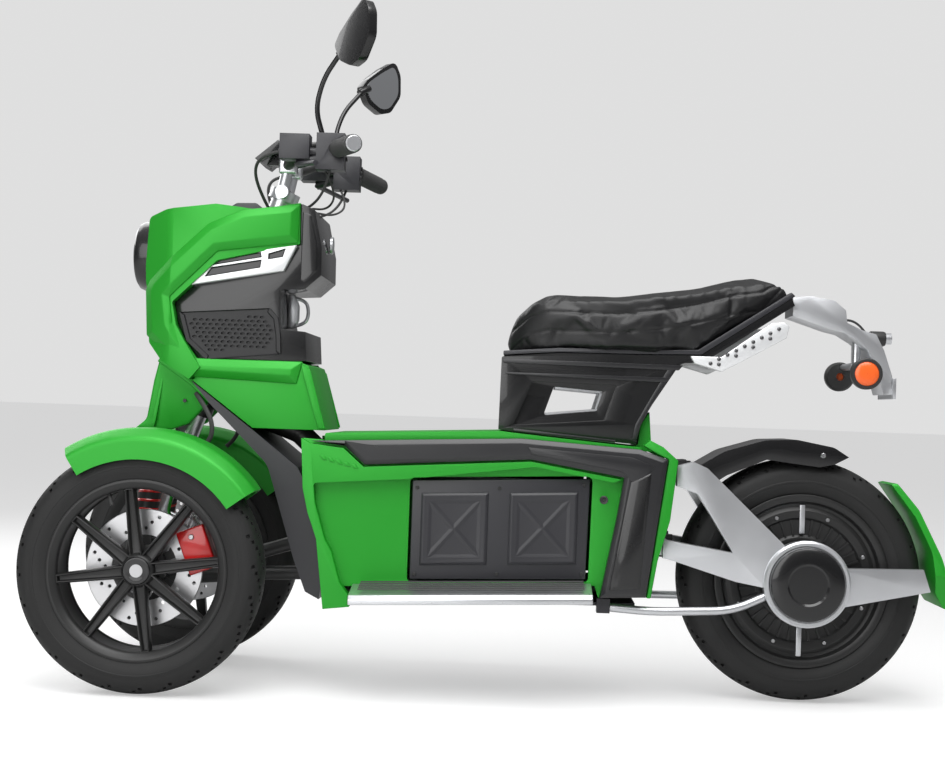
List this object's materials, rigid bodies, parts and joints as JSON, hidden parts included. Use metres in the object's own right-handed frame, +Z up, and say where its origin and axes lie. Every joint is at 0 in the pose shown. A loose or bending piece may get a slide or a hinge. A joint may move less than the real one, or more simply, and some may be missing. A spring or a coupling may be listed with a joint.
{
  "type": "electric three-wheel scooter",
  "caption": "Electric scooter with two steered front wheels, a hub-motor rear wheel, a low floor tunnel with battery doors and a long padded seat.",
  "frame": {"origin": "on the ground below the middle of the bounding box", "axes": "+X forward, +Y to the rider's left, +Z up"},
  "size_m": [1.766, 0.56, 1.294],
  "materials": {
    "green_paint": "metallic gloss",
    "black_plastic": "satin",
    "dark_trim": "gloss",
    "frame_black": "satin",
    "wheel_black": "satin",
    "silver": "satin",
    "steel": "brushed",
    "tyre": "matte",
    "leather": "satin",
    "lamp_silver": "gloss",
    "lens_black": "gloss",
    "orange_lens": "gloss",
    "grip_rubber": "matte",
    "caliper_red": "gloss"
  },
  "bodies": {
    "frame": {"main_frame": "frame_black", "tilt_linkage": "steel", "front_shocks": "frame_black", "headlight": "lens_black", "nose_cowl": "green_paint", "dash_housing": "black_plastic", "grilles": "black_plastic", "side_lights": "lamp_silver", "leg_shield": "green_paint", "nose_fairing": "green_paint", "front_liner": "black_plastic", "tunnel_cover": "green_paint", "side_skirts": "green_paint", "side_trims": "dark_trim", "rear_edge_trims": "green_paint", "footboards": "silver", "belly_pan": "black_plastic", "battery_pack": "black_plastic", "seat_post": "black_plastic", "seat_cushion": "leather", "tail_light_strips": "lamp_silver", "tail_bracket": "silver", "rear_signals": "orange_lens", "swingarm": "silver", "hub_covers": "black_plastic", "rear_fender": "dark_trim", "tail_guard": "green_paint"},
    "steering": {"steering_stem": "silver", "handlebar": "frame_black", "grips": "grip_rubber", "hand_controls": "black_plastic", "display": "black_plastic", "mirrors": "black_plastic"},
    "knuckle_left": {"knuckle_left": "steel", "brake_caliper_left": "caliper_red", "front_mudguard_left": "green_paint"},
    "tie_rod_left": {"tie_rod_left": "steel"},
    "front_wheel_left": {"front_tyre_left": "tyre", "front_rim_left": "wheel_black", "brake_disc_left": "steel"},
    "battery_door_left": {"battery_door_left": "black_plastic"},
    "knuckle_right": {"knuckle_right": "steel", "brake_caliper_right": "caliper_red", "front_mudguard_right": "green_paint"},
    "tie_rod_right": {"tie_rod_right": "steel"},
    "front_wheel_right": {"front_tyre_right": "tyre", "front_rim_right": "wheel_black", "brake_disc_right": "steel"},
    "battery_door_right": {"battery_door_right": "black_plastic"},
    "rear_wheel": {"rear_tyre": "tyre", "rear_hub_wheel": "wheel_black"}
  },
  "joints": [
    {"name": "steering", "type": "hinge", "parent": "frame", "child": "steering", "pos_m": [0.435, 0, 1], "axis": [-0.342, 0, 0.9397], "range_deg": [-30, 30]},
    {"name": "knuckle_left_steer", "type": "hinge", "parent": "frame", "child": "knuckle_left", "pos_m": [0.653, 0.145, 0.23], "axis": [-0.342, 0, 0.9397], "range_deg": [-30, 30]},
    {"name": "tie_rod_left_swing", "type": "hinge", "parent": "steering", "child": "tie_rod_left", "pos_m": [0.61415, 0, 0.30312], "axis": [-0.342, 0, 0.9397], "range_deg": [-30, 30]},
    {"name": "front_wheel_left_roll", "type": "hinge", "parent": "knuckle_left", "child": "front_wheel_left", "pos_m": [0.653, 0.22, 0.23], "axis": [0, 1, 0], "continuous": true},
    {"name": "battery_door_left_hinge", "type": "hinge", "parent": "frame", "child": "battery_door_left", "pos_m": [0.159, 0.15, 0.222], "axis": [-0.9994, 0, 0.036], "range_deg": [0, 85]},
    {"name": "knuckle_right_steer", "type": "hinge", "parent": "frame", "child": "knuckle_right", "pos_m": [0.653, -0.145, 0.23], "axis": [-0.342, 0, 0.9397], "range_deg": [-30, 30]},
    {"name": "tie_rod_right_swing", "type": "hinge", "parent": "steering", "child": "tie_rod_right", "pos_m": [0.61415, 0, 0.30312], "axis": [-0.342, 0, 0.9397], "range_deg": [-30, 30]},
    {"name": "front_wheel_right_roll", "type": "hinge", "parent": "knuckle_right", "child": "front_wheel_right", "pos_m": [0.653, -0.22, 0.23], "axis": [0, 1, 0], "continuous": true},
    {"name": "battery_door_right_hinge", "type": "hinge", "parent": "frame", "child": "battery_door_right", "pos_m": [0.159, -0.15, 0.222], "axis": [0.9994, 0, -0.036], "range_deg": [0, 85]},
    {"name": "rear_wheel_roll", "type": "hinge", "parent": "frame", "child": "rear_wheel", "pos_m": [-0.596, 0, 0.237], "axis": [0, 1, 0], "continuous": true}
  ],
  "couplings": [
    {"joint": "knuckle_left_steer", "follows": "steering", "ratio": 1},
    {"joint": "tie_rod_left_swing", "follows": "steering", "ratio": -1},
    {"joint": "knuckle_right_steer", "follows": "steering", "ratio": 1},
    {"joint": "tie_rod_right_swing", "follows": "steering", "ratio": -1}
  ]
}
